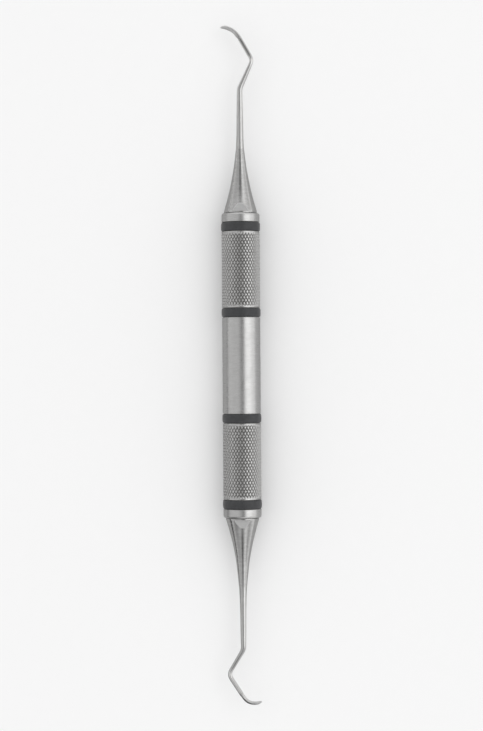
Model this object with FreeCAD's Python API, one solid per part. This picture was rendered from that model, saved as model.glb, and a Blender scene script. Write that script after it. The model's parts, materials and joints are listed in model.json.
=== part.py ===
import FreeCAD, Part
import math
import os

# Double-ended hand scaler with screw-out tips.
# Frame: +X runs along the handle's axis towards the upper tip, +Z is up as the instrument lies,
# the shanks bend in the XY plane, and the origin is the middle of the handle on its axis.
# Both ends are drawn towards +X; the lower one is then turned half a turn about Z.
# Millimetres throughout.

Vector = FreeCAD.Vector
ORIGIN = Vector(0, 0, 0)
X_AXIS = Vector(1, 0, 0)
Y_AXIS = Vector(0, 1, 0)
Z_AXIS = Vector(0, 0, 1)

# ---------------------------------------------------------------- handle and grip rings
HANDLE_R = 4.75
HANDLE_BORE_R = 3.90
HANDLE_HALF = 38.0         # half the tube's length
HANDLE_END_FILLET = 0.55
BORE_CHAMFER = 0.1
RING_REAR_X = 13.2         # grip ring nearer the middle of the handle
RING_FRONT_X = 34.6        # grip ring nearer the tip
RING_GROOVE_W = 2.4
RING_GROOVE_R = 4.30
RING_W = RING_GROOVE_W - 0.2
RING_IN_R = RING_GROOVE_R + 0.05
RING_OUT_R = 4.88
GRIP_R = 4.70              # pitch radius of the knurled zones, which are modelled smooth
GRIP_X = (RING_REAR_X + RING_GROOVE_W / 2, RING_FRONT_X - RING_GROOVE_W / 2)
GRIP_INSET = 0.25          # from the end of a zone to the start of its slope
GRIP_SLOPE_LEN = 0.1

# ---------------------------------------------------------------- thread, M5 x 0.8, right-handed
PITCH = 0.8
FLANK_SLOPE = math.tan(math.radians(30))
THREAD_ROOT_R = 2.02       # male thread
THREAD_CREST_R = 2.44
CREST_HALF_W = PITCH / 2 - PITCH / 16.0 - (THREAD_CREST_R - THREAD_ROOT_R) * FLANK_SLOPE
THREAD_GAP = 0.12          # radial play between male and female thread
THREAD_X = (29.4, 35.0)    # male thread on the cone's stub
THREAD_OVERLAP = 0.05      # how far the ridge sinks into its core
NOSE_LEN = 0.64            # chamfered end of the male thread
NOSE_INSET = 0.12          # the nose's small end, inside the root radius
TRIM_MARGIN = 0.1          # trimming shapes reach this far past the crest

# ---------------------------------------------------------------- threaded bush
SOCKET_X = (25.5, 35.35)   # from its closed end to its mouth
SOCKET_FLOOR = 1.5
SOCKET_CHAMFER = 0.2
MOUTH_CHAMFER = 0.5
GROOVE_START = 0.55        # from the floor to the start of the female thread
GROOVE_OVERLAP = 0.25      # how far the groove's cutter reaches into the open bore
SEAM_TURNS = (111, 97, 137, 151, 173)   # degrees the plain bush may be turned by
GROOVE_VOLUME = (15, 40)   # volume a sound groove takes away, between these

# ---------------------------------------------------------------- cones and seals
SHOULDER_X = HANDLE_HALF + 0.05   # cone's shoulder, which stops on the handle's end
SHOULDER_R = 4.12
SHOULDER_CHAMFER = 0.12
PILOT_R = 2.90
PILOT_BACK_X = 35.6
PILOT_CHAMFER = 0.2
RELIEF_R = 1.90
FLAT_X = (38.35, 40.45)    # two spanner flats
FLAT_HALF_AF = 3.55
FLAT_CUTTER_W = 12
FLAT_CUTTER_H = 3
TANG_R = 0.70              # plain pin that carries the shank back into the cone
TANG_BACK_X = 44.5
TANG_BORE_EXTRA = 0.2      # bore behind the tang
TANG_OVERLAP = 0.3         # how far the tang runs into the shank
SEAL_X = 36.85
SEAL_MAJOR_R = 3.40
SEAL_MINOR_R = 0.44

# ---------------------------------------------------------------- working ends
# cone:       outside of the cone, (x, radius), from the seam with the shank to the shoulder
# bends:      inner corners of the shank's centre line after the seam, (x, y)
# bend_radii: one for each corner
# blade:      centre line round the blade from heel to toe, (x, y)
# shank:      (arc length from the seam, radius)
# half_width, depth: of the blade, at the heel and near the toe; depth is from face to back
# side:       -1 or +1, the side in Z that the toe leans to before the lower end is turned
UPPER = dict(
    cone=[(54.10, 1.00), (53.2, 1.12), (52.1, 1.25), (50.8, 1.41), (49.6, 1.57), (48.4, 1.76),
          (46.5, 2.11), (44.0, 2.63), (41.5, 3.25), (39.6, 3.78), (38.45, SHOULDER_R)],
    bends=[(69.2, 0.0), (76.30, -3.20)],
    bend_radii=[3.2, 2.0],
    blade=[(82.07, 0.05), (82.60, 0.43), (83.14, 0.83), (83.59, 1.28), (84.00, 1.80),
           (84.30, 2.37), (84.56, 2.97), (84.76, 3.57), (84.91, 4.20), (84.96, 4.80)],
    shank=[(0.0, 1.00), (1.0, 0.955), (3.5, 0.860), (7.4, 0.825), (9.8, 0.795),
           (11.8, 0.760), (13.7, 0.735), (15.2, 0.710), (17.0, 0.660), (19.5, 0.580),
           (21.5, 0.530), (23.2, 0.520), (25.0, 0.520), (28.0, 0.515), (60.0, 0.515)],
    half_width=(0.49, 0.44),
    depth=(0.94, 0.84),
    side=-1.0,
)
LOWER = dict(
    cone=[(55.40, 1.00), (54.6, 1.08), (53.4, 1.19), (52.2, 1.31), (50.8, 1.46), (49.3, 1.63),
          (46.8, 2.04), (44.0, 2.62), (41.5, 3.25), (39.6, 3.78), (38.45, SHOULDER_R)],
    bends=[(71.0, 0.0), (77.26, -3.78)],
    bend_radii=[3.0, 2.1],
    blade=[(82.60, -0.20), (83.22, 0.23), (83.66, 0.66), (84.01, 1.18), (84.23, 1.77),
           (84.33, 2.38), (84.33, 3.0), (84.26, 3.6), (84.11, 4.2), (83.96, 4.62)],
    shank=[(0.0, 1.00), (0.8, 0.950), (2.6, 0.865), (5.8, 0.795), (8.5, 0.760),
           (11.0, 0.755), (12.8, 0.735), (14.6, 0.70), (15.6, 0.660), (17.2, 0.590),
           (19.5, 0.545), (21.5, 0.525), (23.0, 0.530), (25.0, 0.525), (28.0, 0.520),
           (60.0, 0.520)],
    half_width=(0.46, 0.395),
    depth=(0.82, 0.65),
    side=1.0,
)
BLADE_LEN = 6.05           # heel to toe along the centre line
HEEL_BLEND = 1.2           # length over which the round shank turns into the blade
HEEL_LEAD = 0.4            # share of that length lying before the heel
FACE_SHARE = 0.40          # share of the blade's depth above the centre line
FACE_CROWN = 0.015         # rise of the face's middle above its edges
FACE_ROLL = 32.0           # degrees the face of each blade is turned about its own length
TOE_WIDTH_LEN = 0.95       # length over which the width closes at the toe
TOE_BACK_LEN = 1.8         # length over which the back closes on the face
MID_LEAN = 0.30            # lean in Z at the elbow
TOE_LEAN = 1.25            # lean in Z at the toe, the other way
PATH_STEP = 0.05           # spacing of points along the centre line
PATH_PASSES = 40           # smoothing passes in the XY plane
LEAN_PASSES = 120          # smoothing passes in Z
BLADE_PIECES = 12          # curve pieces between two blade points
BLADE_LEAD_IN = 14         # the blade's curve is led in by this point from the end of the shank
SECTION_STEP = 0.30        # spacing of the lofted sections
SECTION_PIECES = 10        # pieces in each half of a section


# ---------------------------------------------------------------- centre line
def clamp(value):
    return max(0.0, min(1.0, value))


def ease(value):
    value = clamp(value)
    return value * value * (3 - 2 * value)


def interpolate(rows, x):
    """Straight-line reading of (x, y) rows, held level beyond the ends."""
    if x <= rows[0][0]:
        return rows[0][1]
    for (x0, y0), (x1, y1) in zip(rows, rows[1:]):
        if x <= x1:
            return y0 + (y1 - y0) * (x - x0) / (x1 - x0)
    return rows[-1][1]


def straight(start, stop):
    """Points after start, up to and including stop."""
    (x0, y0), (x1, y1) = start, stop
    count = int(math.hypot(x1 - x0, y1 - y0) / PATH_STEP)
    return [(x0 + (x1 - x0) * k / count, y0 + (y1 - y0) * k / count)
            for k in range(1, count + 1)]


def bend(before, corner, after, radius):
    """Arc that rounds a corner, as its start point and the points after it."""
    (x0, y0), (x1, y1), (x2, y2) = before, corner, after
    len_in = math.hypot(x1 - x0, y1 - y0)
    len_out = math.hypot(x2 - x1, y2 - y1)
    in_x, in_y = (x1 - x0) / len_in, (y1 - y0) / len_in
    out_x, out_y = (x2 - x1) / len_out, (y2 - y1) / len_out
    turn = math.acos(in_x * out_x + in_y * out_y)
    hand = 1.0 if in_x * out_y - in_y * out_x > 0 else -1.0
    setback = radius * math.tan(turn / 2)
    start_x, start_y = x1 - in_x * setback, y1 - in_y * setback
    centre_x, centre_y = start_x - in_y * hand * radius, start_y + in_x * hand * radius
    dx, dy = start_x - centre_x, start_y - centre_y
    count = int(radius * turn / PATH_STEP)
    points = []
    for k in range(1, count + 1):
        angle = hand * turn * k / count
        cos, sin = math.cos(angle), math.sin(angle)
        points.append((centre_x + dx * cos - dy * sin, centre_y + dx * sin + dy * cos))
    return (start_x, start_y), points


def blade_curve(before, blade):
    """Catmull-Rom curve through the blade's points, after the first."""
    end, previous = blade[-1], blade[-2]
    beyond = (2 * end[0] - previous[0], 2 * end[1] - previous[1])
    knots = [before] + blade + [beyond]
    points = []
    for p0, p1, p2, p3 in zip(knots, knots[1:], knots[2:], knots[3:]):
        for k in range(1, BLADE_PIECES + 1):
            t = k / float(BLADE_PIECES)
            points.append(tuple(
                0.5 * (2 * a1 + (a2 - a0) * t + (2 * a0 - 5 * a1 + 4 * a2 - a3) * t * t
                       + (3 * a1 - a0 - 3 * a2 + a3) * t * t * t)
                for a0, a1, a2, a3 in zip(p0, p1, p2, p3)))
    return points


def even(points):
    """The same line with its points PATH_STEP apart."""
    out, carry = [points[0]], 0.0
    for (x0, y0), (x1, y1) in zip(points, points[1:]):
        length = math.hypot(x1 - x0, y1 - y0)
        along = PATH_STEP - carry
        while along <= length:
            out.append((x0 + (x1 - x0) * along / length, y0 + (y1 - y0) * along / length))
            along += PATH_STEP
        carry = (carry + length) % PATH_STEP
    # end on the last point without leaving a very short piece before it
    last = points[-1]
    if math.hypot(out[-1][0] - last[0], out[-1][1] - last[1]) > PATH_STEP * 0.3:
        out.append(last)
    else:
        out[-1] = last
    return out


def relax(values, passes):
    """Smooth a list of numbers, holding both ends."""
    values = list(values)
    for _ in range(passes):
        inner = [(a + 2 * b + c) / 4 for a, b, c in zip(values, values[1:], values[2:])]
        values = [values[0]] + inner + [values[-1]]
    return values


def centre_line(end):
    """Centre line of a working end, lean included, as equally spaced points."""
    seam = end["cone"][0][0]
    line = [(seam, 0.0)] + end["bends"] + [end["blade"][0]]
    points = [line[0]]
    for i, radius in enumerate(end["bend_radii"], 1):
        start, arc = bend(line[i - 1], line[i], line[i + 1], radius)
        points += straight(points[-1], start) + arc
    points += straight(points[-1], line[-1])
    points += blade_curve(points[-BLADE_LEAD_IN], end["blade"])

    xs, ys = zip(*even(points))
    points = even(list(zip(relax(xs, PATH_PASSES), relax(ys, PATH_PASSES))))

    total = PATH_STEP * (len(points) - 1)
    bend_at = line[1][0] - seam
    elbow_at = bend_at + math.hypot(line[2][0] - line[1][0], line[2][1])
    leans = []
    for k in range(len(points)):
        s = k * PATH_STEP
        z = -MID_LEAN * ease((s - bend_at) / (elbow_at - bend_at))
        z += (MID_LEAN + TOE_LEAN) * max(0.0, (s - elbow_at) / (total - elbow_at)) ** 1.25
        leans.append(end["side"] * z)
    return [Vector(x, y, z) for (x, y), z in zip(points, relax(leans, LEAN_PASSES))]


# ---------------------------------------------------------------- blade and shank
def section_sizes(end, s, total):
    """Half width, face crown, edge height, back depth and roll in degrees at arc length s."""
    radius = interpolate(end["shank"], s)
    heel = total - BLADE_LEN
    blend = ease((s - heel + HEEL_BLEND * HEEL_LEAD) / HEEL_BLEND)
    along = clamp((s - heel) / BLADE_LEN)
    half_width, depth = (a + (b - a) * along for a, b in (end["half_width"], end["depth"]))
    edge = depth * FACE_SHARE
    back = depth * (1 - FACE_SHARE)
    crown = FACE_CROWN
    # rounded toe: width and back close on the face
    toe = (s - (total - TOE_WIDTH_LEN)) / TOE_WIDTH_LEN
    if toe > 0:
        half_width *= (1 - (0.985 * toe) ** 2) ** 0.55
        crown *= math.sqrt(max(0.05, 1 - toe * toe))
    toe = (s - (total - TOE_BACK_LEN)) / TOE_BACK_LEN
    if toe > 0:
        back = depth * (1 - (0.97 * toe) ** 2) ** 0.65 - edge
    return (radius + (half_width - radius) * blend,
            radius * (1 - blend) + crown * blend,
            edge * blend,
            radius + (back - radius) * blend,
            blend * FACE_ROLL)


def section_wire(end, path, s, total):
    i = min(int(s / PATH_STEP), len(path) - 2)
    centre = path[i] + (path[i + 1] - path[i]) * (s / PATH_STEP - i)
    tangent = (path[min(len(path) - 1, i + 3)] - path[max(0, i - 2)]).normalize()
    inward = Z_AXIS.cross(tangent).normalize()      # towards the inside of the blade's curve
    upward = tangent.cross(inward).normalize()
    half_width, crown, edge, back, roll = section_sizes(end, s, total)
    angle = math.radians(roll) * end["side"]
    face = inward * math.cos(angle) + upward * math.sin(angle)
    wide = tangent.cross(face).normalize()

    angles = [math.pi * j / SECTION_PIECES for j in range(SECTION_PIECES + 1)]
    back_points = [centre + wide * (half_width * math.cos(a))
                   + face * (edge - (edge + back) * math.sin(a)) for a in angles]
    face_points = [centre + wide * (-half_width * math.cos(a))
                   + face * (edge + crown * math.sin(a)) for a in angles]
    # the two halves share their end points exactly
    face_points[0], face_points[-1] = back_points[-1], back_points[0]
    edges = []
    for points in (back_points, face_points):
        curve = Part.BSplineCurve()
        curve.interpolate(points)
        edges.append(curve.toShape())
    return Part.Wire(edges)


def blade_shank(end):
    path = centre_line(end)
    total = PATH_STEP * (len(path) - 1)
    count = int(round(total / SECTION_STEP))
    wires = [section_wire(end, path, total * k / count, total) for k in range(count + 1)]
    body = Part.makeLoft(wires, True, False)
    tang_len = end["cone"][0][0] - TANG_BACK_X + TANG_OVERLAP
    tang = Part.makeCylinder(TANG_R, tang_len, Vector(TANG_BACK_X, 0, 0), X_AXIS)
    return body.fuse(tang).removeSplitter()


# ---------------------------------------------------------------- turned and threaded shapes
def revolve(corners, spline=None):
    """Solid turned about X from (x, radius) corners, closed by a straight edge or by a spline."""
    edges = []
    if spline:
        curve = Part.BSplineCurve()
        curve.interpolate([Vector(x, r, 0) for x, r in spline])
        edges.append(curve.toShape())
        loop = [spline[-1]] + corners + [spline[0]]
    else:
        loop = corners + [corners[0]]
    for (x0, r0), (x1, r1) in zip(loop, loop[1:]):
        edges.append(Part.makeLine(Vector(x0, r0, 0), Vector(x1, r1, 0)))
    face = Part.Face(Part.Wire(Part.__sortEdges__(edges)))
    turned = face.revolve(ORIGIN, X_AXIS, 360)
    # the direction of the profile may leave the solid inside out
    if turned.Volume < 0:
        turned.reverse()
    return turned


def helical_bar(inner_r, outer_r, length):
    """60 degree right-handed ridge along +Z from z = 0, CREST_HALF_W each way at outer_r."""
    base_half_w = CREST_HALF_W + (outer_r - inner_r) * FLANK_SLOPE
    profile = [Vector(inner_r, 0, -base_half_w), Vector(outer_r, 0, -CREST_HALF_W),
               Vector(outer_r, 0, CREST_HALF_W), Vector(inner_r, 0, base_half_w)]
    wire = Part.makePolygon(profile + [profile[0]])
    helix = Part.makeHelix(PITCH, length, inner_r)
    return Part.Wire(helix).makePipeShell([wire], True, True)


def onto_axis(shape, start_x):
    """Lay a threaded shape made along +Z onto +X from start_x, turned so that every thread
    lies on the one helix that passes through the male thread's start."""
    laid = shape.copy()
    laid.rotate(ORIGIN, Z_AXIS, (360.0 * (start_x - THREAD_X[0]) / PITCH) % 360.0)
    laid.rotate(ORIGIN, Y_AXIS, 90)
    laid.translate(Vector(start_x, 0, 0))
    return laid


def threaded_stub():
    """Helical ridge on a plain core, made a pitch too long each way and trimmed."""
    length = THREAD_X[1] - THREAD_X[0]
    trim_r = THREAD_CREST_R + TRIM_MARGIN
    foot = Vector(0, 0, PITCH)
    core = Part.makeCylinder(THREAD_ROOT_R, length + 2 * PITCH)
    ridge = helical_bar(THREAD_ROOT_R - THREAD_OVERLAP, THREAD_CREST_R, length + 2 * PITCH)
    trim = Part.makeCylinder(trim_r, length, foot)
    nose = Part.makeCone(THREAD_ROOT_R - NOSE_INSET, trim_r, NOSE_LEN, foot)
    stub = core.fuse(ridge).common(trim)
    stub = stub.cut(Part.makeCylinder(THREAD_CREST_R + 0.5, NOSE_LEN, foot).cut(nose))
    if not stub.isValid() or len(stub.Solids) != 1:
        raise RuntimeError("the stub's thread could not be made")
    return onto_axis(stub, THREAD_X[0] - PITCH)


# ---------------------------------------------------------------- pieces
def cone(profile):
    """Hollow-nosed cone with its shoulder, pilot, relief, spanner flats and threaded stub."""
    bore_back = TANG_BACK_X - TANG_BORE_EXTRA
    turned = revolve(
        [(SHOULDER_X + SHOULDER_CHAMFER, SHOULDER_R), (SHOULDER_X, SHOULDER_R - SHOULDER_CHAMFER),
         (SHOULDER_X, PILOT_R), (PILOT_BACK_X + PILOT_CHAMFER, PILOT_R),
         (PILOT_BACK_X, PILOT_R - PILOT_CHAMFER), (PILOT_BACK_X, RELIEF_R),
         (THREAD_X[1], RELIEF_R), (THREAD_X[1], 0.0),
         (bore_back, 0.0), (bore_back, TANG_R), (profile[0][0], TANG_R)],
        profile,
    )
    for z in (FLAT_HALF_AF, -FLAT_HALF_AF - FLAT_CUTTER_H):
        corner = Vector(FLAT_X[0], -FLAT_CUTTER_W / 2, z)
        turned = turned.cut(
            Part.makeBox(FLAT_X[1] - FLAT_X[0], FLAT_CUTTER_W, FLAT_CUTTER_H, corner))
    return turned.fuse(threaded_stub())


def socket():
    """Threaded bush inside the handle, closed towards the handle's middle."""
    back, mouth = SOCKET_X
    floor = back + SOCKET_FLOOR
    minor_r = THREAD_ROOT_R + THREAD_GAP
    body = revolve([(back, 0.0), (back, HANDLE_BORE_R - SOCKET_CHAMFER),
                    (back + SOCKET_CHAMFER, HANDLE_BORE_R), (mouth, HANDLE_BORE_R),
                    (mouth, minor_r + MOUTH_CHAMFER), (mouth - MOUTH_CHAMFER, minor_r),
                    (floor, minor_r), (floor, 0.0)])
    start = floor + GROOVE_START
    groove = helical_bar(minor_r - GROOVE_OVERLAP, THREAD_CREST_R + THREAD_GAP,
                         mouth + PITCH - start)
    groove = onto_axis(groove, start)
    # The cut can fail where the bush's seam line meets the groove's start, so the plain bush
    # is turned on its axis until one cut comes out sound.
    least, most = GROOVE_VOLUME
    for turn in SEAM_TURNS:
        plain = body.copy()
        plain.rotate(ORIGIN, X_AXIS, turn)
        cut = plain.cut(groove)
        if cut.isValid() and len(cut.Solids) == 1 and least < body.Volume - cut.Volume < most:
            return cut
    raise RuntimeError("the bush's thread could not be cut")


def ring_groove(x):
    half_w = RING_GROOVE_W / 2
    return [(x - half_w, HANDLE_R), (x - half_w, RING_GROOVE_R),
            (x + half_w, RING_GROOVE_R), (x + half_w, HANDLE_R)]


def handle():
    half, fillet = HANDLE_HALF, HANDLE_END_FILLET
    rim_r = HANDLE_BORE_R + BORE_CHAMFER
    zone_start, zone_end = GRIP_X[0] + GRIP_INSET, GRIP_X[1] - GRIP_INSET
    right = ring_groove(RING_REAR_X)
    right += [(zone_start, HANDLE_R), (zone_start + GRIP_SLOPE_LEN, GRIP_R),
              (zone_end - GRIP_SLOPE_LEN, GRIP_R), (zone_end, HANDLE_R)]
    right += ring_groove(RING_FRONT_X)
    # the end's rounding, as three short facets
    right += [(half - fillet, HANDLE_R), (half - fillet * 0.45, HANDLE_R - fillet * 0.16),
              (half - fillet * 0.16, HANDLE_R - fillet * 0.45), (half, HANDLE_R - fillet)]
    left = [(-x, r) for x, r in reversed(right)]
    bore = [(half, rim_r), (half - BORE_CHAMFER, HANDLE_BORE_R),
            (-half + BORE_CHAMFER, HANDLE_BORE_R), (-half, rim_r)]
    return revolve(left + right + bore)


def grip_ring(middle):
    """Soft ring with a crowned outside."""
    half_w = RING_W / 2
    # (share of the half width, drop below the outside radius)
    shape = [(-1, 0.26), (-0.93, 0.14), (-0.62, 0.035), (0, 0),
             (0.62, 0.035), (0.93, 0.14), (1, 0.26)]
    crown = [(middle + half_w * share, RING_OUT_R - drop) for share, drop in shape]
    return revolve([(middle + half_w, RING_IN_R), (middle - half_w, RING_IN_R)], crown)


def seal():
    return Part.makeTorus(SEAL_MAJOR_R, SEAL_MINOR_R, Vector(SEAL_X, 0, 0), X_AXIS)


def half_turn(shape):
    turned = shape.copy()
    turned.rotate(ORIGIN, Z_AXIS, 180)
    return turned


def save(name, shape):
    # booleans may wrap a single solid in a compound
    solids = shape.Solids
    out = solids[0] if len(solids) == 1 else Part.makeCompound(solids)
    out.exportStep("parts/%s.step" % name)


os.makedirs("parts", exist_ok=True)
save("handle_tube", handle())
bush = socket()
for end_name, end, direction in (("upper", UPPER, 1), ("lower", LOWER, -1)):
    pieces = dict(socket=bush, cone=cone(end["cone"]), blade_shank=blade_shank(end),
                  seal_ring=seal())
    for piece_name, piece in pieces.items():
        save(end_name + "_" + piece_name, piece if direction > 0 else half_turn(piece))
    save(end_name + "_front_grip_ring", grip_ring(direction * RING_FRONT_X))
    save(end_name + "_rear_grip_ring", grip_ring(direction * RING_REAR_X))
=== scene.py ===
"""A double-ended hand instrument: a round handle, and at each end a bent shank with a curved blade.

The handle lies along X, centred on the origin, above a floor in the XY plane. The upper end points
towards +X and the lower end towards -X. Sizes are in millimetres unless a comment says otherwise.
"""
import json
import math

import bpy
import numpy as np
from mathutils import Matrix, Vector


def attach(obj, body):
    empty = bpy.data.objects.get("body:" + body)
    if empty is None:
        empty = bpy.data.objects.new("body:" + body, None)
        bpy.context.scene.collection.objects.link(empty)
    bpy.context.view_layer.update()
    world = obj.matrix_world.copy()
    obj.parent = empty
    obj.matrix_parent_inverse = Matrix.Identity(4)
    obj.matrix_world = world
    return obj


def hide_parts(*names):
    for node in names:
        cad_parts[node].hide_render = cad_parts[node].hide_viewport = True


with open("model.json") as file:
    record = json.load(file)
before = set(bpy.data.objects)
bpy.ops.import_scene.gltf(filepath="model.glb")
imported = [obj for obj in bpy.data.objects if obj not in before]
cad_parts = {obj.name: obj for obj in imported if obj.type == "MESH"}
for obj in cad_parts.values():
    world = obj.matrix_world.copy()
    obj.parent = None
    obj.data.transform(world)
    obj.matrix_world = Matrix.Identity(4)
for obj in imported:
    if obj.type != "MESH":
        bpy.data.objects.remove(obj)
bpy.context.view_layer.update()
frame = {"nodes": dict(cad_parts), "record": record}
scene = bpy.context.scene

MM = 0.001                                     # metres in a millimetre

# ------------------------------------------------------------------ sizes of the handle and rings
HANDLE_R, BORE_R, HANDLE_HALF, END_FILLET = 4.75, 3.90, 38.0, 0.55

RING_X = (13.2, 34.6)                          # ring centres on the +X half, mirrored on the other
GROOVE_HALF, GROOVE_R = 1.2, 4.30              # the groove that each ring sits in
GROOVE_LIP = 0.07                              # how far the lip of a groove is cut down
RING_WIDTH, RING_IN_R, RING_OUT_R = 2.2, GROOVE_R + 0.05, 4.88

KNURL_GAP = 0.32                               # from the edge of a groove to the knurl
KNURL_X = (RING_X[0] + GROOVE_HALF + KNURL_GAP, RING_X[1] - GROOVE_HALF - KNURL_GAP)
CREST_R, ROOT_R = 4.765, 4.545
KNURL_SINK = 0.03                              # the knurl fades out this far below the handle
KNURL_FADE = 0.42                              # length of that fade
KNURL_STARTS, KNURL_CELLS, KNURL_PITCH = 36, 8, 1.44
KNURL_PROFILE = np.array([0.0, 0.50, 0.93, 1.0, 1.0])   # height by cells away from a groove

# ------------------------------------------------------------------ sizes of the working ends
# Both ends are laid out towards +X; a turned end is then swung half a turn about Z.
#   seam         x where the shank leaves the cone
#   side         sign of the lean in z and of the roll of the blade face
#   corners      (x, y) of the bend and the elbow, rounded with the two radii
#   blade        (x, y) of the blade's centre line, from heel to tip
#   shank        (arc length from the seam, radius)
#   half_width, thick   of the blade, at the heel and at the tip
#   finish  painted shade and highlight, as brightness: (arc length, face side, middle, back side)
#   seed         of the unevenness
UPPER = dict(
    seam=54.10, side=-1.0, turned=False, seed=1.0,
    corners=[(69.2, 0.0), (76.30, -3.20)], radii=[3.2, 2.0],
    blade=[(82.07, 0.05), (82.60, 0.43), (83.14, 0.83), (83.59, 1.28), (84.00, 1.80),
           (84.30, 2.37), (84.56, 2.97), (84.76, 3.57), (84.91, 4.20), (84.96, 4.80)],
    shank=[(0.0, 1.00), (1.0, 0.955), (3.5, 0.860), (7.4, 0.825), (9.8, 0.795), (11.8, 0.760),
           (13.7, 0.735), (15.2, 0.710), (17.0, 0.660), (19.5, 0.580), (21.5, 0.530),
           (23.2, 0.520), (25.0, 0.520), (28.0, 0.515), (60.0, 0.515)],
    half_width=(0.49, 0.44), thick=(0.94, 0.84),
    # painted shade and highlight: a painted highlight at the elbow, near 22.9, and a painted dark
    # core along the terminal shank
    finish=[(13.0, 1.0, 1.0, 1.0), (16.5, 1.25, 0.90, 0.90), (20.5, 1.35, 0.90, 0.85),
            (22.9, 1.30, 1.35, 1.10), (24.3, 1.05, 0.60, 0.85), (28.0, 1.05, 0.55, 0.85),
            (29.3, 0.80, 0.70, 0.85), (31.0, 1.0, 1.0, 1.0)],
)
LOWER = dict(
    seam=55.40, side=1.0, turned=True, seed=2.3,
    corners=[(71.0, 0.0), (77.26, -3.78)], radii=[3.0, 2.1],
    blade=[(82.60, -0.20), (83.22, 0.23), (83.66, 0.66), (84.01, 1.18), (84.23, 1.77),
           (84.33, 2.38), (84.33, 3.0), (84.26, 3.6), (84.11, 4.2), (83.96, 4.62)],
    shank=[(0.0, 1.00), (0.8, 0.950), (2.6, 0.865), (5.8, 0.795), (8.5, 0.760), (11.0, 0.755),
           (12.8, 0.735), (14.6, 0.70), (15.6, 0.660), (17.2, 0.590), (19.5, 0.545),
           (21.5, 0.525), (23.0, 0.530), (25.0, 0.525), (28.0, 0.520), (60.0, 0.520)],
    half_width=(0.46, 0.395), thick=(0.82, 0.65),
    # painted shade and highlight: a painted highlight at the elbow, near 22.9, and lighter along
    # the terminal shank
    finish=[(13.0, 1.0, 1.0, 1.0), (16.0, 0.95, 0.80, 1.10), (20.5, 0.90, 0.75, 1.15),
            (22.9, 1.05, 1.40, 1.30), (24.5, 1.05, 1.35, 1.25), (27.5, 1.05, 1.30, 1.25),
            (29.5, 1.0, 1.1, 1.1), (31.0, 1.0, 1.0, 1.0)],
)
SEAM_R, CONE_SLOPE = 1.0, 0.11                 # radius at the seam, and the cone's slope behind it
TANG_R, TANG_BACK = 0.70, 44.5                 # thin rod behind the seam, and where it starts in x
BLADE_LEN, HEEL_BLEND = 6.05, 1.2
TIP_TAPER, BACK_TAPER = 0.95, 1.8              # lengths over which the width and the back run out
FACE_CROWN = 0.012                             # rise of the blade face between its edges
FACE_ROLL = 32.0                               # degrees
MID_LEAN, TOE_LEAN = 0.30, 1.25                # z at the elbow and, the other way, at the tip
PATH_STEP = 0.05                               # spacing of points on the centre line
BACK_STEPS, FACE_STEPS = 40, 30                # round the back and across the face of a section


# ------------------------------------------------------------------ mesh helpers
def smooth(value):
    value = max(0.0, min(1.0, value))
    return value * value * (3 - 2 * value)


def shade(mesh, sharp_deg):
    mesh.polygons.foreach_set("use_smooth", [True] * len(mesh.polygons))
    mesh.set_sharp_from_angle(angle=math.radians(sharp_deg))


def make_mesh(name, points, faces, sharp_deg, **attributes):
    """Object from points in millimetres, with one float or vector attribute per keyword."""
    mesh = bpy.data.meshes.new(name)
    mesh.from_pydata((points * MM).tolist(), [], faces)
    mesh.validate(verbose=False)
    mesh.update()
    for key, values in attributes.items():
        kind, field = ("FLOAT", "value") if values.ndim == 1 else ("FLOAT_VECTOR", "vector")
        attribute = mesh.attributes.new(key, kind, "POINT")
        attribute.data.foreach_set(field, values.astype(np.float32).ravel())
    shade(mesh, sharp_deg)
    obj = bpy.data.objects.new(name, mesh)
    scene.collection.objects.link(obj)
    return obj


def lathe(name, rows, columns, sharp_deg, split=None, **attributes):
    """Hollow piece: a closed outline of (x, radius) rows turned about X.

    A radius may be an array, one per column. Cells after a row flagged in split become triangles.
    """
    angles = 2 * np.pi * np.arange(columns) / columns
    cosines, sines = np.cos(angles), np.sin(angles)
    points = np.concatenate([
        np.column_stack([np.full(columns, x), radius * cosines, radius * sines])
        for x, radius in rows])
    radii = np.hypot(points[:, 1], points[:, 2])
    faces = []
    for k in range(len(rows)):
        here, ahead = k * columns, ((k + 1) % len(rows)) * columns
        for q in range(columns):
            after = (q + 1) % columns
            i0, i1, i2, i3 = here + q, here + after, ahead + after, ahead + q
            if split is None or not split[k]:
                faces.append((i0, i1, i2, i3))
                continue
            # cut along the groove or ridge that runs through the cell
            drop02, drop13 = abs(radii[i0] - radii[i2]), abs(radii[i1] - radii[i3])
            if abs(drop02 - drop13) < 1e-6:
                cut02 = radii[i0] + radii[i2] < radii[i1] + radii[i3]
            else:
                cut02 = drop02 < drop13
            if cut02:
                faces += [(i0, i1, i2), (i0, i2, i3)]
            else:
                faces += [(i0, i1, i3), (i1, i2, i3)]
    return make_mesh(name, points, faces, sharp_deg, **attributes)


# ------------------------------------------------------------------ centre line of a working end
def add_straight(points, end_point):
    """Extend the points with a straight run to end_point."""
    (x0, y0), (x1, y1) = points[-1], end_point
    count = max(2, int(math.hypot(x1 - x0, y1 - y0) / PATH_STEP))
    points += [(x0 + (x1 - x0) * k / count, y0 + (y1 - y0) * k / count)
               for k in range(1, count + 1)]


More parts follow.
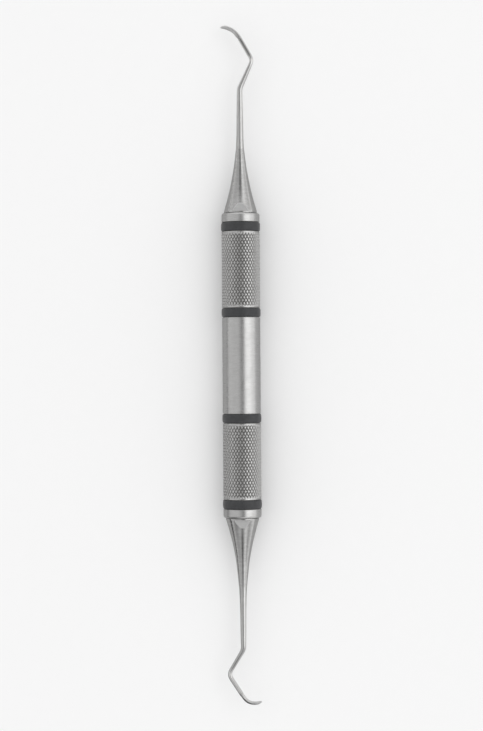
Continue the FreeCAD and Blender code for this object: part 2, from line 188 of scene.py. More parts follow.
def rounded_line(corners, radii):
    """Points along a line whose inner corners are rounded to the given radii."""
    points = [corners[0]]
    for (x0, y0), (x1, y1), (x2, y2), radius in zip(corners, corners[1:], corners[2:], radii):
        len_in, len_out = math.hypot(x1 - x0, y1 - y0), math.hypot(x2 - x1, y2 - y1)
        in_x, in_y = (x1 - x0) / len_in, (y1 - y0) / len_in
        out_x, out_y = (x2 - x1) / len_out, (y2 - y1) / len_out
        turn = math.acos(max(-1.0, min(1.0, in_x * out_x + in_y * out_y)))
        sign = 1.0 if in_x * out_y - in_y * out_x > 0 else -1.0
        setback = radius * math.tan(turn / 2)
        start_x, start_y = x1 - in_x * setback, y1 - in_y * setback
        add_straight(points, (start_x, start_y))
        centre_x, centre_y = start_x - in_y * sign * radius, start_y + in_x * sign * radius
        arm_x, arm_y = start_x - centre_x, start_y - centre_y
        count = max(4, int(radius * turn / PATH_STEP))
        for k in range(1, count + 1):
            angle = sign * turn * k / count
            points.append((centre_x + arm_x * math.cos(angle) - arm_y * math.sin(angle),
                           centre_y + arm_x * math.sin(angle) + arm_y * math.cos(angle)))
    add_straight(points, corners[-1])
    return points


def spline_points(knots, per_span=12):
    """Catmull-Rom points from the second knot to the last but one."""
    points = []
    for p0, p1, p2, p3 in zip(knots, knots[1:], knots[2:], knots[3:]):
        for k in range(1, per_span + 1):
            t = k / per_span
            points.append(tuple(
                0.5 * (2 * p1[c] + (p2[c] - p0[c]) * t
                       + (2 * p0[c] - 5 * p1[c] + 4 * p2[c] - p3[c]) * t * t
                       + (3 * p1[c] - p0[c] - 3 * p2[c] + p3[c]) * t ** 3) for c in (0, 1)))
    return points


def evenly_spaced(points):
    """The line resampled at equal steps, and the step."""
    line = np.array(points, float)
    gaps = np.hypot(*np.diff(line, axis=0).T)
    line = line[np.concatenate([[True], gaps > 1e-12])]
    arc = np.concatenate([[0.0], np.cumsum(np.hypot(*np.diff(line, axis=0).T))])
    count = max(2, int(round(arc[-1] / PATH_STEP)))
    places = np.linspace(0.0, arc[-1], count + 1)
    even = np.stack([np.interp(places, arc, line[:, 0]), np.interp(places, arc, line[:, 1])], 1)
    return even, arc[-1] / count


def relax(values, passes):
    """Smooth the values in place, keeping both ends."""
    for _ in range(passes):
        values[1:-1] = (values[:-2] + 2 * values[1:-1] + values[2:]) / 4


def centre_line(end):
    """Equally spaced centre line with its lean in z, the spacing and the total length."""
    bend, elbow = end["corners"]
    points = rounded_line([(end["seam"], 0.0), bend, elbow, end["blade"][0]], end["radii"])
    # a knot before the heel and one past the tip steer the ends of the spline
    knots = [points[-14]] + end["blade"]
    (before_x, before_y), (tip_x, tip_y) = knots[-2:]
    knots.append((2 * tip_x - before_x, 2 * tip_y - before_y))
    points += spline_points(knots)

    flat, _ = evenly_spaced(points)
    relax(flat, passes=40)
    flat, step = evenly_spaced(flat)
    total = step * (len(flat) - 1)

    s_bend = bend[0] - end["seam"]
    s_elbow = s_bend + math.hypot(elbow[0] - bend[0], elbow[1])
    lean = []
    for k in range(len(flat)):
        s = k * step
        towards_tip = max(0.0, (s - s_elbow) / (total - s_elbow)) ** 1.25
        value = -MID_LEAN * smooth((s - s_bend) / (s_elbow - s_bend))
        lean.append(end["side"] * (value + (MID_LEAN + TOE_LEAN) * towards_tip))
    lean = np.array(lean)
    relax(lean, passes=120)
    return np.column_stack([flat, lean]), step, total


def path_frame(path, step, s):
    """Point, tangent, in-plane normal and binormal of the path at arc length s."""
    place = min(s / step, len(path) - 1.0001)
    index = int(place)
    part = place - index

    def direction(i):
        chord = path[min(len(path) - 1, i + 3)] - path[max(0, i - 2)]
        return chord / np.linalg.norm(chord)

    point = path[index] + (path[index + 1] - path[index]) * part
    tangent = direction(index) * (1 - part) + direction(index + 1) * part
    tangent /= np.linalg.norm(tangent)
    normal = np.cross([0, 0, 1.0], tangent)
    normal /= np.linalg.norm(normal)
    return point, tangent, normal, np.cross(tangent, normal)


# ------------------------------------------------------------------ skin of a working end
BACK_ANGLES = np.pi * np.arange(BACK_STEPS + 1) / BACK_STEPS
FACE_ANGLES = np.pi * np.arange(1, FACE_STEPS) / FACE_STEPS
RING_ANGLES = np.concatenate([-BACK_ANGLES, np.pi - FACE_ANGLES])
CIRCLE = np.column_stack([np.cos(RING_ANGLES), np.sin(RING_ANGLES)])
RING_POINTS = len(CIRCLE)


def radius_curve(end):
    """Shank radius by arc length, its corners softened and joined to the cone at the seam."""
    arc = np.arange(-2.0, 40.0, 0.05)
    table_arc, table_radius = np.array(end["shank"]).T
    radius = np.where(arc >= 0, np.interp(arc, table_arc, table_radius),
                      SEAM_R - CONE_SLOPE * arc)
    reach, spread = 30, 0.42                   # samples each side, and width of the Gaussian
    kernel = np.exp(-(np.arange(-reach, reach + 1) * 0.05 / spread) ** 2 / 2)
    soft = np.convolve(np.pad(radius, reach, mode="edge"), kernel / kernel.sum(), mode="valid")
    soft -= (np.interp(0.0, arc, soft) - SEAM_R) * np.exp(-np.maximum(arc, 0.0) / 0.8)
    return arc, soft


def wobble(s, angle, seed):
    """Repeatable unevenness from -1 to 1, slow along s and round the angle (radians)."""
    return (0.42 * np.sin(1.31 * s + 1.7 * seed) * np.cos(angle + 0.6 * seed)
            + 0.33 * np.sin(2.27 * s + 2.9 * seed + 2 * np.cos(angle + seed))
            + 0.25 * np.sin(0.63 * s + 0.8 * seed) * np.cos(2 * angle - 1.1 * seed))


def station_places(total):
    """Arc lengths of the sections: closer along the blade and closer still at the tip."""
    blade_start = total - BLADE_LEN - HEEL_BLEND
    places = list(np.arange(0.0, blade_start, 0.10))
    places += list(np.arange(blade_start, total - BACK_TAPER, 0.055))
    last = places[-1]
    return places + [last + (total - last) * (1 - (1 - k / 40.0) ** 1.6) for k in range(1, 41)]


def section_shape(end, s, total, radius):
    """Blade share (0 round shank, 1 blade), half width, edge height, face rise, back depth."""
    heel = total - BLADE_LEN
    share = smooth((s - heel + HEEL_BLEND * 0.4) / HEEL_BLEND)
    along = max(0.0, min(1.0, (s - heel) / BLADE_LEN))
    half_width, thick = (first + (last - first) * along
                         for first, last in (end["half_width"], end["thick"]))
    edge, back = thick * 0.40, thick * 0.60
    tip = (s - (total - TIP_TAPER)) / TIP_TAPER
    if tip > 0:
        half_width *= max(0.0, 1 - (0.994 * tip) ** 2) ** 0.55
    run_out = (s - (total - BACK_TAPER)) / BACK_TAPER
    if run_out > 0:
        back = thick * max(0.0, 1 - (0.985 * run_out) ** 2) ** 0.65 - edge
    crown_part = 1 if tip <= 0 else math.sqrt(max(0.02, 1 - tip * tip))
    rise = radius * (1 - share) + FACE_CROWN * share * crown_part
    return (share, radius + (half_width - radius) * share, edge * share, rise,
            radius + (back - radius) * share)


def tang_rings(end, path, step):
    """Rings of the thin rod behind the seam, closed at the back by a single point."""
    _, tangent, normal, _ = path_frame(path, step, 0.0)
    wide = np.cross(tangent, normal)
    lay = np.column_stack([np.full(RING_POINTS, -1.0), CIRCLE * TANG_R])
    zeros, ones = np.zeros(RING_POINTS), np.ones(RING_POINTS)
    rings = [(np.array([[TANG_BACK, 0, 0]]), np.zeros((1, 3)), zeros[:1], zeros[:1], ones[:1])]
    for x, radius in ((TANG_BACK, TANG_R - 0.15), (TANG_BACK + 0.15, TANG_R),
                      (end["seam"] - 0.02, TANG_R), (end["seam"], TANG_R + 0.02),
                      (end["seam"], 0.94)):
        points = (np.array([x, 0, 0]) + np.outer(CIRCLE[:, 0] * radius, wide)
                  + np.outer(CIRCLE[:, 1] * radius, normal))
        rings.append((points, lay, zeros, zeros, ones))
    return rings


def working_end(name, end):
    """Tang, shank and blade as one closed skin: round, then half-round with two cutting edges."""
    path, step, total = centre_line(end)
    radius_arc, radius_soft = radius_curve(end)
    tone_arc, *tones = np.array(end["finish"]).T
    # each ring: points, lay (arc length and section place), blade share, honed, painted shade and
    # highlight
    rings = tang_rings(end, path, step)

    for s in station_places(total):
        point, tangent, normal, binormal = path_frame(path, step, s)
        radius = float(np.interp(s, radius_arc, radius_soft))
        radius *= 1.0 - 0.03 * math.exp(-(s / 0.05) ** 2)      # fine joint line at the cone
        share, half_width, edge, rise, back = section_shape(end, s, total, radius)

        roll = math.radians(share * FACE_ROLL) * end["side"]
        face = normal * math.cos(roll) + binormal * math.sin(roll)
        wide = np.cross(tangent, face)
        across = np.concatenate([half_width * np.cos(BACK_ANGLES),
                                 -half_width * np.cos(FACE_ANGLES)])
        height = np.concatenate([edge - (edge + back) * np.sin(BACK_ANGLES),
                                 edge + rise * np.sin(FACE_ANGLES)])

        # a few microns of unevenness on the round shank, less on the blade
        depth = 0.0045 * (1 - 0.75 * share) * smooth(s / 0.8)
        uneven = wobble(s, np.arctan2(height, across), end["seed"])
        uneven = 1.0 + depth / max(0.3, radius) * uneven
        points = point + np.outer(across * uneven, wide) + np.outer(height * uneven, face)

        honed = np.concatenate([np.zeros(BACK_STEPS + 1), np.ones(FACE_STEPS - 1)]) * share
        honed[0] = honed[BACK_STEPS] = 0.6 * share
        # painted shade and highlight: the brightness changes along the shank and between its face
        # side, middle and back side
        face_tone, middle, back_tone = (np.interp(s, tone_arc, tone) for tone in tones)
        finish = np.interp(height / max(half_width, back),
                           [-0.85, -0.45, -0.12, 0.12, 0.45, 0.85],
                           [back_tone, (back_tone + middle) / 2, middle,
                            middle, (face_tone + middle) / 2, face_tone])
        lay = np.column_stack([np.full(RING_POINTS, s), across, height])
        rings.append((points, lay, np.full(RING_POINTS, share), honed, finish))

    rings.append((points.mean(0)[None], lay.mean(0)[None], np.ones(1), np.zeros(1), np.ones(1)))
    points, lay, blade, honed, finish = (np.concatenate(parts) for parts in zip(*rings))
    if end["turned"]:
        points = points * np.array([-1.0, -1.0, 1.0])

    around = [(q, (q + 1) % RING_POINTS) for q in range(RING_POINTS)]
    faces = []
    for k in range(len(rings) - 3):
        here, ahead = 1 + k * RING_POINTS, 1 + (k + 1) * RING_POINTS
        faces += [(here + q, here + after, ahead + after, ahead + q) for q, after in around]
    faces += [(0, 1 + after, 1 + q) for q, after in around]
    tip = len(points) - 1
    last_ring = tip - RING_POINTS
    faces += [(tip, last_ring + q, last_ring + after) for q, after in around]
    return make_mesh(name, points, faces, 38, lay=lay, blade=blade, honed=honed, finish=finish)


# ------------------------------------------------------------------ handle and grip rings
# Rows of the handle outline are (x, radius, relief, knurled); relief is 1 on the outer surface and
# falls towards 0 in the hollows.
def groove_rows(centre):
    """A ring groove, from its lip nearer the middle to the plain surface beyond it."""
    near, far = centre - GROOVE_HALF, centre + GROOVE_HALF
    lip = HANDLE_R - GROOVE_LIP
    return [(near, lip, 0.9, False), (near, GROOVE_R + 0.05, 0.2, False),
            (near + 0.05, GROOVE_R, 0.1, False), (far - 0.05, GROOVE_R, 0.1, False),
            (far, GROOVE_R + 0.05, 0.2, False), (far, lip, 0.9, False),
            (far + 0.03, HANDLE_R - 0.02, 1.0, False), (far + 0.10, HANDLE_R, 1.0, False)]


def knurl_rows(columns):
    """Diamond knurl: two sets of crossing grooves that fade out at both ends."""
    step = KNURL_PITCH / KNURL_CELLS
    count = int(round((KNURL_X[1] - KNURL_X[0]) / step))
    column = np.arange(columns)
    rows = []
    for i in range(count + 1):
        one_way, other_way = (column + i) % KNURL_CELLS, (column - i) % KNURL_CELLS
        nearest = np.minimum(np.minimum(one_way, KNURL_CELLS - one_way),
                             np.minimum(other_way, KNURL_CELLS - other_way))
        height = KNURL_PROFILE[nearest]
        fade = smooth(min(i, count - i) * step / KNURL_FADE)
        radius = ROOT_R + (CREST_R - ROOT_R) * height
        radius = HANDLE_R - KNURL_SINK + (radius - HANDLE_R + KNURL_SINK) * fade
        rows.append((KNURL_X[0] + i * step, radius, height * fade + (1 - fade), True))
    return rows


def end_rows():
    """Rounded end of the handle and the first part of its bore."""
    rows = []
    for k in range(9):
        angle = math.pi / 2 * k / 8
        rows.append((HANDLE_HALF - END_FILLET + END_FILLET * math.sin(angle),
                     HANDLE_R - END_FILLET + END_FILLET * math.cos(angle), 1.0, False))
    return rows + [(HANDLE_HALF, BORE_R + 0.16, 0.8, False),
                   (HANDLE_HALF - 0.03, BORE_R + 0.10, 0.8, False),
                   (HANDLE_HALF - 0.12, BORE_R, 0.6, False),
                   (HANDLE_HALF - 2.6, BORE_R, 0.4, False),
                   (25.0, BORE_R, 0.2, False)]


def handle_piece():
    """Tube with two knurled zones and four ring grooves."""
    columns = KNURL_STARTS * KNURL_CELLS
    inner_near = RING_X[0] - GROOVE_HALF
    inner_far = RING_X[0] + GROOVE_HALF
    outer_near = RING_X[1] - GROOVE_HALF

    def plain(x, sink=0.0):
        return (x, HANDLE_R - sink, 1.0, False)

    # the +X half, from the middle outwards and back into the bore
    half = [plain(x) for x in (0.0, 3.0, 6.0, 9.0, 11.4, 11.9)]
    half += [plain(inner_near - 0.02, sink=0.02)] + groove_rows(RING_X[0])
    half += [plain(inner_far + 0.20), plain(inner_far + 0.28, sink=KNURL_SINK)]
    half += knurl_rows(columns)
    half += [plain(outer_near - 0.28, sink=KNURL_SINK), plain(outer_near - 0.20),
             plain(outer_near - 0.10), plain(outer_near - 0.03, sink=0.02)]
    half += groove_rows(RING_X[1]) + [plain(36.6), plain(37.2)] + end_rows()

    rows = [(-x, *rest) for x, *rest in reversed(half)] + half[1:]
    knurled = [row[3] for row in rows]
    split = [here or after for here, after in zip(knurled, knurled[1:] + knurled[:1])]
    relief = np.concatenate([np.broadcast_to(row[2], columns) for row in rows])
    return lathe("handle_shell", [row[:2] for row in rows], columns, 24, split, relief=relief)


def grip_ring_piece(name, centre):
    """Crowned ring with two fine lines round it."""
    half, steps = RING_WIDTH / 2, 26
    rows = []
    for k in range(steps + 1):
        across = -1 + 2 * k / steps
        off = abs(across)
        radius = RING_OUT_R - 0.060 * off ** 2.0 - 0.230 * off ** 8
        radius -= 0.012 * math.exp(-((off - 0.42) / 0.05) ** 2)
        rows.append((centre + half * across, radius))
    chamfer = 0.06
    rows += [(centre + half, RING_IN_R + chamfer), (centre + half - chamfer, RING_IN_R),
             (centre - half + chamfer, RING_IN_R), (centre - half, RING_IN_R + chamfer)]
    return lathe(name, rows, 160, 40)


# ------------------------------------------------------------------ node helpers
class Nodes:
    """Builds a node tree; a value may be a number, a colour or the output of another node."""

    def __init__(self, owner):
        owner.use_nodes = True
        self.tree = owner.node_tree
        self.tree.nodes.clear()

    def new(self, kind, **props):
        node = self.tree.nodes.new(kind)
        for key, value in props.items():
            setattr(node, key, value)
        return node

    def put(self, socket, value):
        if isinstance(value, bpy.types.NodeSocket):
            self.tree.links.new(value, socket)
        elif isinstance(value, tuple) and socket.type == "RGBA":
            socket.default_value = (*value, 1.0)
        else:
            socket.default_value = value

    def attribute(self, name, output="Fac"):
        return self.new("ShaderNodeAttribute", attribute_name=name).outputs[output]

    def vector(self, operation, first, second):
        node = self.new("ShaderNodeVectorMath", operation=operation)
        self.put(node.inputs[0], first)
        self.put(node.inputs["Scale" if operation == "SCALE" else 1], second)
        return node.outputs[0]

    def object_mm(self):
        coord = self.new("ShaderNodeTexCoord")
        return self.vector("SCALE", coord.outputs["Object"], 1000.0)

    def split(self, vector):
        node = self.new("ShaderNodeSeparateXYZ")
        self.put(node.inputs[0], vector)
        return node.outputs

    def noise(self, vector, stretch, detail, roughness):
        """Noise with its frequency per millimetre given along each axis."""
        stretched = self.vector("MULTIPLY", vector, stretch)
        node = self.new("ShaderNodeTexNoise")
        for key, value in (("Scale", 1.0), ("Detail", detail), ("Roughness", roughness),
                           ("Vector", stretched)):
            self.put(node.inputs[key], value)
        return node.outputs["Fac"]

    def remap(self, value, over=(0.3, 0.7), to=(0.0, 1.0)):
        node = self.new("ShaderNodeMapRange")
        for key, number in zip(("From Min", "From Max", "To Min", "To Max"), (*over, *to)):
            node.inputs[key].default_value = number
        self.put(node.inputs["Value"], value)
        return node.outputs[0]

    def math(self, operation, first, second=None):
        node = self.new("ShaderNodeMath", operation=operation)
        self.put(node.inputs[0], first)
        if second is not None:
            self.put(node.inputs[1], second)
        return node.outputs[0]

    def mix(self, factor, first, second):
        """Mix of two colours."""
        node = self.new("ShaderNodeMix", data_type="RGBA")
        for key, value in ((0, factor), (6, first), (7, second)):
            self.put(node.inputs[key], value)
        return node.outputs[2]

    def mix_float(self, factor, first, second):
        node = self.new("ShaderNodeMix", data_type="FLOAT")
        for key, value in ((0, factor), (2, first), (3, second)):
            self.put(node.inputs[key], value)
        return node.outputs[0]

    def bump(self, height, depth, strength, normal=None):
        """Bump with its depth in millimetres."""
        node = self.new("ShaderNodeBump")
        node.inputs["Strength"].default_value = strength
        node.inputs["Distance"].default_value = depth * MM
        self.put(node.inputs["Height"], height)
        if normal is not None:
            self.put(node.inputs["Normal"], normal)
        return node.outputs[0]


class Material(Nodes):
    def __init__(self, name):
        self.material = bpy.data.materials.new(name)
        super().__init__(self.material)
        output = self.new("ShaderNodeOutputMaterial")
        self.shader = self.new("ShaderNodeBsdfPrincipled")
        self.put(output.inputs[0], self.shader.outputs[0])

    def surface(self, values):
        for key, value in values.items():
            self.put(self.shader.inputs[key], value)
        return self.material


def grey(value, warm=0.0):
    return (value, value * (1 - 0.35 * warm), value * (1 - warm))


def scaled(colour, factor):
    return tuple(value * factor for value in colour)


# ------------------------------------------------------------------ materials
def blade_steel():
    """Polished round shank with fine lengthwise polishing lines; satin, hand-honed blade."""
    net = Material("blade_steel")
    lay = net.attribute("lay", "Vector")
    blade = net.attribute("blade")
    honed = net.attribute("honed")
    lines = net.noise(lay, stretch=(0.55, 26.0, 26.0), detail=3.0, roughness=0.6)
    coarse = net.noise(lay, stretch=(0.22, 5.0, 5.0), detail=2.0, roughness=0.5)
    cross = net.noise(lay, stretch=(34.0, 1.2, 1.2), detail=2.0, roughness=0.55)
    smear = net.noise(lay, stretch=(0.8, 0.9, 0.9), detail=3.0, roughness=0.55)

    base = net.mix(net.remap(coarse), grey(0.565, warm=0.02), grey(0.655, warm=0.012))
    smeared = net.math("MULTIPLY", net.remap(smear, over=(0.55, 0.8)), 0.35)
    base = net.mix(smeared, base, grey(0.50, warm=0.03))
    on_blade = net.math("MULTIPLY", blade, 0.85)
    satin = net.mix(net.remap(cross), grey(0.69, warm=0.010), grey(0.76, warm=0.006))
    base = net.mix(on_blade, base, satin)

    # painted shade and highlight, set along each shank and across its sides, with random lengthwise
    # streaks, capped below white
    streak = net.noise(lay, stretch=(0.09, 4.2, 4.2), detail=3.0, roughness=0.6)
    streaks_and_painted_light = net.math("MULTIPLY", net.attribute("finish"), net.remap(streak, to=(0.88, 1.12)))
    base = net.vector("MINIMUM", net.vector("SCALE", base, streaks_and_painted_light), (0.94, 0.94, 0.935))

    shank_rough = net.remap(lines, to=(0.13, 0.22))
    rough = net.mix_float(blade, shank_rough, net.remap(cross, to=(0.24, 0.36)))
    smeared = net.math("MULTIPLY", net.remap(smear, over=(0.5, 0.8)), 0.06)
    rough = net.math("ADD", rough, smeared)

    normal = net.bump(coarse, depth=0.010, strength=1.0)
    normal = net.bump(lines, depth=0.0035, strength=0.7, normal=normal)
    ground = net.mix_float(honed, 0.0, cross)
    normal = net.bump(ground, depth=0.004, strength=0.8, normal=normal)
    return net.surface({"Base Color": base, "Metallic": 1.0, "Roughness": rough,
                        "Normal": normal, "Anisotropic": 0.25})


def add_relief(net, place, base, rough, light):
    """Darker in the hollows of the knurl, the ring grooves and deeper in the bore, mottled by
    noise, and lighter where the relief is near 1: the knurl's crests and the plain outer surface.
    """
    relief = net.attribute("relief")
    low = net.remap(relief, over=(0.0, 0.75), to=(1.0, 0.0))
    hollow_mottle = net.noise(place, stretch=(2.5, 2.5, 2.5), detail=4.0, roughness=0.6)
    hollow_darkening = net.math("MULTIPLY", low, net.remap(hollow_mottle, to=(0.45, 0.85)))
    # darker towards the bottom of the hollows and deeper in the bore, mottled by noise
    base = net.mix(hollow_darkening, base, (0.17, 0.165, 0.155))
    crest = net.remap(relief, over=(0.9, 1.0))
    base = net.mix(net.math("MULTIPLY", crest, 0.25), base, scaled(light, 1.12))
    return base, net.math("ADD", rough, net.math("MULTIPLY", low, 0.22))


def add_flats(net, place, base, rough, height):
    """The spanner flats are milled: straight cutter lines and a duller, lighter surface."""
    flat_z, flat_x, half_length, tolerance = 3.55, 39.4, 1.3, 0.012
    axes = net.split(place)
    off_z = net.math("ABSOLUTE", net.math("SUBTRACT", net.math("ABSOLUTE", axes[2]), flat_z))
    off_x = net.math("SUBTRACT", net.math("ABSOLUTE", axes[0]), flat_x)
    in_z = net.math("LESS_THAN", off_z, tolerance)
    in_x = net.math("LESS_THAN", net.math("ABSOLUTE", off_x), half_length)
    on_flat = net.math("MULTIPLY", in_z, in_x)
    mill = net.noise(place, stretch=(9.0, 0.25, 0.25), detail=2.0, roughness=0.6)
    milled = net.mix(mill, grey(0.70, warm=0.01), grey(0.82, warm=0.008))
    base = net.mix(on_flat, base, milled)
    rough = net.mix_float(on_flat, rough, net.remap(mill, to=(0.42, 0.56)))
    height = net.mix_float(on_flat, height, net.math("MULTIPLY", mill, 2.0))
    return base, rough, height


def turned_steel(name, dark, light, rough_range, fine, depth, relief=False, flats=False):
    """Lathe-turned steel: rings round the axis, fine per millimetre and depth deep, and stains."""
    net = Material(name)
    place = net.object_mm()
    turning = net.noise(place, stretch=(fine, 0.35, 0.35), detail=3.0, roughness=0.6)
    wide = net.noise(place, stretch=(2.2, 0.5, 0.5), detail=2.0, roughness=0.5)
    smear = net.noise(place, stretch=(0.25, 0.45, 0.45), detail=4.0, roughness=0.55)
    scratch = net.noise(place, stretch=(0.6, 22.0, 22.0), detail=2.0, roughness=0.5)

    base = net.mix(net.remap(wide), dark, light)
    stain = net.math("MULTIPLY", net.remap(smear, over=(0.55, 0.78)), 0.4)
    base = net.mix(stain, base, scaled(dark, 0.82))
    rough = net.remap(turning, to=rough_range)
    stain = net.math("MULTIPLY", net.remap(smear, over=(0.45, 0.75)), 0.07)
    rough = net.math("ADD", rough, stain)
    height = turning
    if relief:
        base, rough = add_relief(net, place, base, rough, light)
    if flats:
        base, rough, height = add_flats(net, place, base, rough, height)

    normal = net.bump(height, depth=depth, strength=0.8)
    normal = net.bump(scratch, depth=depth * 0.5, strength=0.5, normal=normal)
    return net.surface({"Base Color": base, "Metallic": 1.0, "Roughness": rough,
                        "Normal": normal})


def silicone(name, colour, rough):
    """Dark rubbery surface with faint clouding, dust and moulding lines."""
    net = Material(name)
    place = net.object_mm()
    fine = net.noise(place, stretch=(14.0, 14.0, 14.0), detail=4.0, roughness=0.6)
    cloud = net.noise(place, stretch=(0.9, 0.9, 0.9), detail=3.0, roughness=0.5)
    flow = net.noise(place, stretch=(9.0, 0.6, 0.6), detail=2.0, roughness=0.5)
    base = net.mix(net.remap(cloud), colour, scaled(colour, 1.35))
    dust = net.math("MULTIPLY", net.remap(fine, over=(0.6, 0.75)), 0.12)
    base = net.mix(dust, base, (0.35, 0.35, 0.34))
    rough = net.remap(fine, to=(rough - 0.08, rough + 0.08))
    normal = net.bump(fine, depth=0.012, strength=0.6)
    normal = net.bump(flow, depth=0.008, strength=0.5, normal=normal)
    return net.surface({"Base Color": base, "Roughness": rough, "Specular IOR Level": 0.35,
                        "Sheen Weight": 0.15, "Normal": normal})


BLADE_STEEL = blade_steel()
CONE_STEEL = turned_steel(
    "cone_steel", dark=grey(0.56, warm=0.02), light=grey(0.64, warm=0.012),
    rough_range=(0.14, 0.23), fine=26.0, depth=0.0016, flats=True)
HANDLE_STEEL = turned_steel(
    "handle_steel", dark=grey(0.56, warm=0.02), light=grey(0.63, warm=0.012),
    rough_range=(0.24, 0.36), fine=20.0, depth=0.004, relief=True)
BUSH_STEEL = turned_steel(
    "bush_steel", dark=grey(0.50, warm=0.05), light=grey(0.58, warm=0.04),
    rough_range=(0.28, 0.42), fine=16.0, depth=0.006)
RING_SILICONE = silicone("ring_silicone", colour=(0.036, 0.037, 0.039), rough=0.44)
SEAL_RUBBER = silicone("seal_rubber", colour=(0.018, 0.018, 0.019), rough=0.42)


# ------------------------------------------------------------------ pieces
def give(obj, material):
    obj.data.materials.clear()
    obj.data.materials.append(material)


# CAD pieces that keep their shape: name, material, angle of a sharp edge in degrees
for part, material, sharp_deg in (("cone", CONE_STEEL, 28), ("socket", BUSH_STEEL, 28),
                                  ("seal_ring", SEAL_RUBBER, 60)):
    for half_name in ("upper", "lower"):
        cad_piece = frame["nodes"][f"{half_name}_{part}"]
        give(cad_piece, material)
        shade(cad_piece.data, sharp_deg)

bodies = frame["record"]["behaviour"]["bodies"]
body_of_node = {node: body for body, members in bodies.items() for node in members}


def stand_for(piece, node, material):
    """Put a new piece in the place of a CAD node."""
    give(piece, material)
    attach(piece, body_of_node[node])
    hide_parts(node)


stand_for(working_end("upper_blade", UPPER), "upper_blade_shank", BLADE_STEEL)
stand_for(working_end("lower_blade", LOWER), "lower_blade_shank", BLADE_STEEL)
stand_for(handle_piece(), "handle_tube", HANDLE_STEEL)
for half_name, sign in (("upper", 1), ("lower", -1)):
    for place_name, ring_x in (("front", RING_X[1]), ("rear", RING_X[0])):
        stem = f"{half_name}_{place_name}_grip_"
        stand_for(grip_ring_piece(stem + "band", sign * ring_x), stem + "ring",
                  RING_SILICONE)


# ------------------------------------------------------------------ floor
def floor_material():
    """Plain pale floor.

    Only reflections see painted reflections on it: it is greyer beside the handle, and a dark patch
    beyond the lower end is painted as if a card lay there.
    """
    net = Material("pale_floor")
    place = net.object_mm()
    grain = net.noise(place, stretch=(0.35, 0.35, 0.35), detail=3.0, roughness=0.5)
    pale = net.mix(grain, grey(0.933), grey(0.943))
    axes = net.split(place)
    along = net.math("ABSOLUTE", axes[0])
    near = net.remap(along, over=(56.0, 68.0), to=(0.50, 0.90))
    edge = net.math("ADD", axes[0], net.math("MULTIPLY", axes[1], -1.5))
    dark_patch_in_reflections = net.remap(edge, over=(-96.0, -88.0))
    near_grey = net.new("ShaderNodeCombineColor")
    for channel in range(3):
        net.put(near_grey.inputs[channel], near)
    # painted reflection: glossy rays see the floor greyer near the handle and dark in a patch
    # beyond the lower end
    mirrored = net.mix(dark_patch_in_reflections, grey(0.05), near_grey.outputs[0])
    in_mirror = net.new("ShaderNodeLightPath").outputs["Is Glossy Ray"]
    return net.surface({"Base Color": net.mix(in_mirror, pale, mirrored), "Roughness": 0.9,
                        "Specular IOR Level": 0.0})


FLOOR_HALF = 3.0                               # metres
floor_z = -RING_OUT_R * MM - 0.00002           # metres, just clear of the grip rings
floor_mesh = bpy.data.meshes.new("floor")
floor_mesh.from_pydata([(x * FLOOR_HALF, y * FLOOR_HALF, floor_z)
                        for x, y in ((-1, -1), (1, -1), (1, 1), (-1, 1))], [], [(0, 1, 2, 3)])
floor = bpy.data.objects.new("floor", floor_mesh)
scene.collection.objects.link(floor)
floor.data.materials.append(floor_material())

# ------------------------------------------------------------------ world
# What steel sees round the X axis: (degrees from overhead, positive towards -Y; brightness).
# Surfaces that face straight out see a dark slot overhead and a bright panel towards -Y.
SKY_ACROSS = [(-180, .88), (-92, .88), (-80, .70), (-45, .62), (-18, .64), (-7, .52), (0, .22),
              (12, .17), (18, .60), (23, 1.40), (54, 1.40), (66, 1.05), (92, .98), (180, .95)]
# The same slot and panel for reflections that lean towards +X and towards -X.
SKY_PLUS_X = [(-180, .88), (-92, .82), (-75, .60), (-60, .50), (-22, .47), (-13, .30), (-6, .07),
              (4, .06), (12, .28), (22, .76), (32, 1.06), (42, .96), (58, .70), (80, .62),
              (92, .88), (180, .90)]
SKY_MINUS_X = [(-180, .88), (-92, .80), (-75, .55), (-60, .46), (-24, .50), (-15, .36), (-8, .07),
               (1, .06), (9, .28), (20, .70), (31, .90), (43, .72), (55, .42), (64, .40),
               (72, .62), (92, .85), (180, .90)]


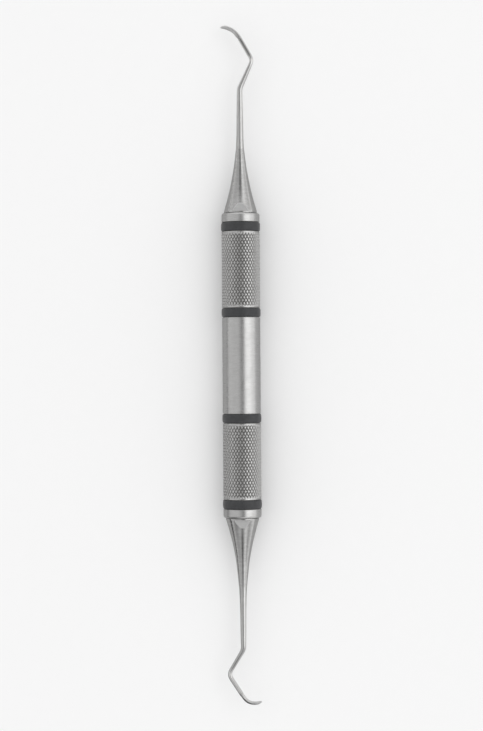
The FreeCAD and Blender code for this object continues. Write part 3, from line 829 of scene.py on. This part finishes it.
def studio_world():
    """Pale surround; only reflections see the light tent of the tables above."""
    world = bpy.data.worlds.new("studio")
    scene.world = world
    net = Nodes(world)
    output = net.new("ShaderNodeOutputWorld")
    direction = net.new("ShaderNodeTexCoord").outputs["Generated"]
    x, y, z = net.split(direction)
    tilt = net.math("ARCTAN2", net.math("MULTIPLY", y, -1.0), z)
    turn = net.math("DIVIDE", net.math("ADD", tilt, math.pi), 2 * math.pi)

    def ramp(stops):
        node = net.new("ShaderNodeValToRGB")
        node.color_ramp.interpolation = "LINEAR"
        elements = node.color_ramp.elements
        while len(elements) > 1:
            elements.remove(elements[-1])
        for k, (degrees, value) in enumerate(stops):
            position = (degrees + 180.0) / 360.0
            element = elements.new(position) if k else elements[0]
            element.position = position
            element.color = (value, value, value, 1)
        net.put(node.inputs[0], turn)
        return node.outputs[0]

    def blend(first, second, value, start, stop):
        """Pass smoothly from first to second as value goes from start to stop."""
        node = net.new("ShaderNodeMapRange", interpolation_type="SMOOTHSTEP")
        node.inputs["From Min"].default_value = start
        node.inputs["From Max"].default_value = stop
        net.put(node.inputs["Value"], value)
        return net.mix(node.outputs[0], first, second)

    across, plus_x, minus_x = ramp(SKY_ACROSS), ramp(SKY_PLUS_X), ramp(SKY_MINUS_X)
    sky = blend(across, plus_x, x, start=0.12, stop=0.42)
    sky = blend(sky, grey(0.90), x, start=0.48, stop=0.70)
    minus = net.math("MULTIPLY", x, -1.0)
    sky = blend(sky, minus_x, minus, start=0.12, stop=0.42)
    sky = blend(sky, grey(0.80), minus, start=0.52, stop=0.74)

    # a round dark patch low towards -X and +Y
    patch = net.new("ShaderNodeVectorMath", operation="DOT_PRODUCT")
    patch.inputs[1].default_value = Vector((-0.80, 0.50, 0.26)).normalized()
    net.put(patch.inputs[0], direction)
    sky = blend(sky, grey(0.07), patch.outputs["Value"],
                start=math.cos(math.radians(27)), stop=math.cos(math.radians(14)))

    glossy = net.new("ShaderNodeBackground")
    net.put(glossy.inputs[0], sky)
    glossy.inputs[1].default_value = 1.0
    plain = net.new("ShaderNodeBackground")
    plain.inputs[1].default_value = 1.0
    rays = net.new("ShaderNodeLightPath")
    # the far wall looks as pale as the far floor
    wall = net.mix(rays.outputs["Is Camera Ray"], grey(0.93), grey(0.872))
    net.put(plain.inputs[0], wall)
    both = net.new("ShaderNodeMixShader")
    for key, value in ((0, rays.outputs["Is Glossy Ray"]), (1, plain.outputs[0]),
                       (2, glossy.outputs[0])):
        net.put(both.inputs[key], value)
    net.put(output.inputs[0], both.outputs[0])


studio_world()


# ------------------------------------------------------------------ lights and camera
def softbox(name, location, size, watts):
    """Rectangular light aimed at the origin and hidden from reflections; sizes in metres."""
    light = bpy.data.lights.new(name, "AREA")
    light.shape = "RECTANGLE"
    light.size, light.size_y = size
    light.energy = watts
    obj = bpy.data.objects.new(name, light)
    obj.location = location
    obj.rotation_euler = (-Vector(location)).to_track_quat("-Z", "Y").to_euler()
    obj.visible_glossy = False
    scene.collection.objects.link(obj)


softbox("key_softbox", location=(0.10, -0.45, 0.75), size=(0.7, 0.5), watts=0.55)
softbox("fill_softbox", location=(-0.15, 0.60, 0.70), size=(0.9, 0.6), watts=0.20)

# The camera looks straight down, with +X up in its view.
LENS, SENSOR = 100.0, 36.0
VIEW_LENGTH = 182.75                           # longer side of the view, at the handle's axis
VIEW_TURN = -90.0 - 0.41                       # degrees about Z, with a slight tilt of the handle
camera_data = bpy.data.cameras.new("camera")
camera = bpy.data.objects.new("camera", camera_data)
scene.collection.objects.link(camera)
camera_data.lens = LENS
camera_data.sensor_width = SENSOR
camera_data.sensor_fit = "AUTO"
camera_data.clip_start, camera_data.clip_end = 0.01, 20.0
camera.location = (0.0, 0.0, VIEW_LENGTH * MM / (SENSOR / LENS))
camera.rotation_euler = (0.0, 0.0, math.radians(VIEW_TURN))
scene.camera = camera
scene.view_settings.view_transform = "Standard"
scene.view_settings.look = "None"
scene.view_settings.exposure = 0.0
scene.view_settings.gamma = 1.0
